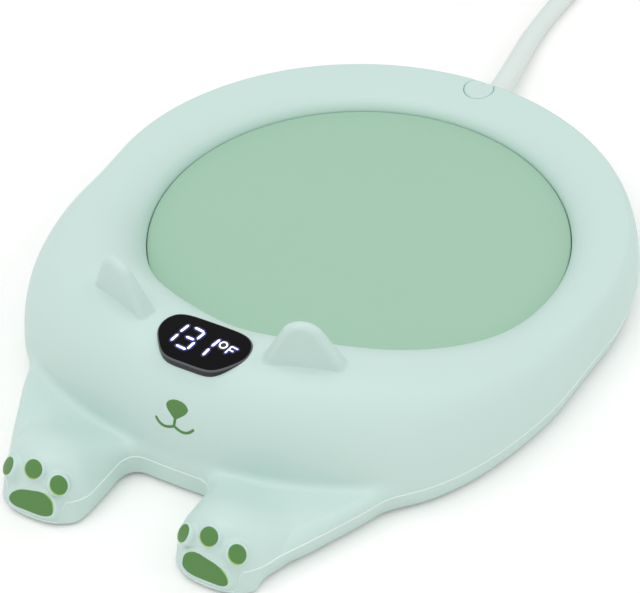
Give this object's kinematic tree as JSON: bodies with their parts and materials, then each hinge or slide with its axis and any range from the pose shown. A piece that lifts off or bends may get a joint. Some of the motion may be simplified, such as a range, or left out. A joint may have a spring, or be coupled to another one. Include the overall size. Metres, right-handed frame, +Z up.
{
  "type": "electric mug warmer",
  "caption": "Low ring-shaped mug warmer modelled as a lying bear: a round heating plate in a moulded shell with ears, paws, a digital readout, a power button and a mains cord.",
  "frame": {"origin": "on the table, in the middle of the body's length and width", "axes": "+Z up, the bear's paws towards -Y, the cord leaves towards +Y, +X to the right seen from the front"},
  "size_m": [0.1758, 0.2907, 0.0416],
  "materials": {
    "shell": "satin mint",
    "plate": "satin green coating",
    "lens": "glossy black",
    "rubber": "matt grey",
    "cord": "satin pale grey",
    "silicone": "matt pale",
    "steel": "zinc plated",
    "board": "green solder mask",
    "chip": "black moulding",
    "capacitor": "sleeved can",
    "film": "yellow box",
    "fuse_glass": "clear tube",
    "mica": "mica",
    "felt": "white fibre felt",
    "wire": "insulated wire",
    "blade": "nickel-plated brass",
    "tie": "hook-and-loop strap"
  },
  "bodies": {
    "housing": {"top_cover": "shell", "bottom_cover": "shell", "heating_plate": "plate", "plate_gasket": "silicone", "display_lens": "lens", "rubber_feet": "rubber", "strain_relief": "cord", "power_cord": "cord", "cord_coil": "cord", "cord_tail": "cord", "cord_tie": "tie", "plug_body": "cord", "plug_blades": "blade", "heater_element": "mica", "heater_insulation": "felt", "heater_retainer": "steel", "retainer_screws": "steel", "thermal_fuse": "steel", "temperature_sensor": "chip", "main_board": "board", "smoothing_capacitor": "capacitor", "film_capacitor": "film", "mains_fuse": "fuse_glass", "heater_triac": "chip", "control_chip": "chip", "board_screws": "steel", "display_board": "board", "display_module": "chip", "display_screws": "steel", "switch_board": "board", "switch_body": "chip", "switch_board_screws": "steel", "case_screws": "steel", "mains_leads": "wire", "switch_leads": "wire", "heater_leads": "wire"},
    "power_button": {"power_button": "shell", "switch_stem": "chip"}
  },
  "joints": [
    {"name": "button_press", "type": "slide", "parent": "housing", "child": "power_button", "axis": [0, 0, -1], "range_m": [0, 0.0004], "stiffness_N_per_m": 2000}
  ]
}
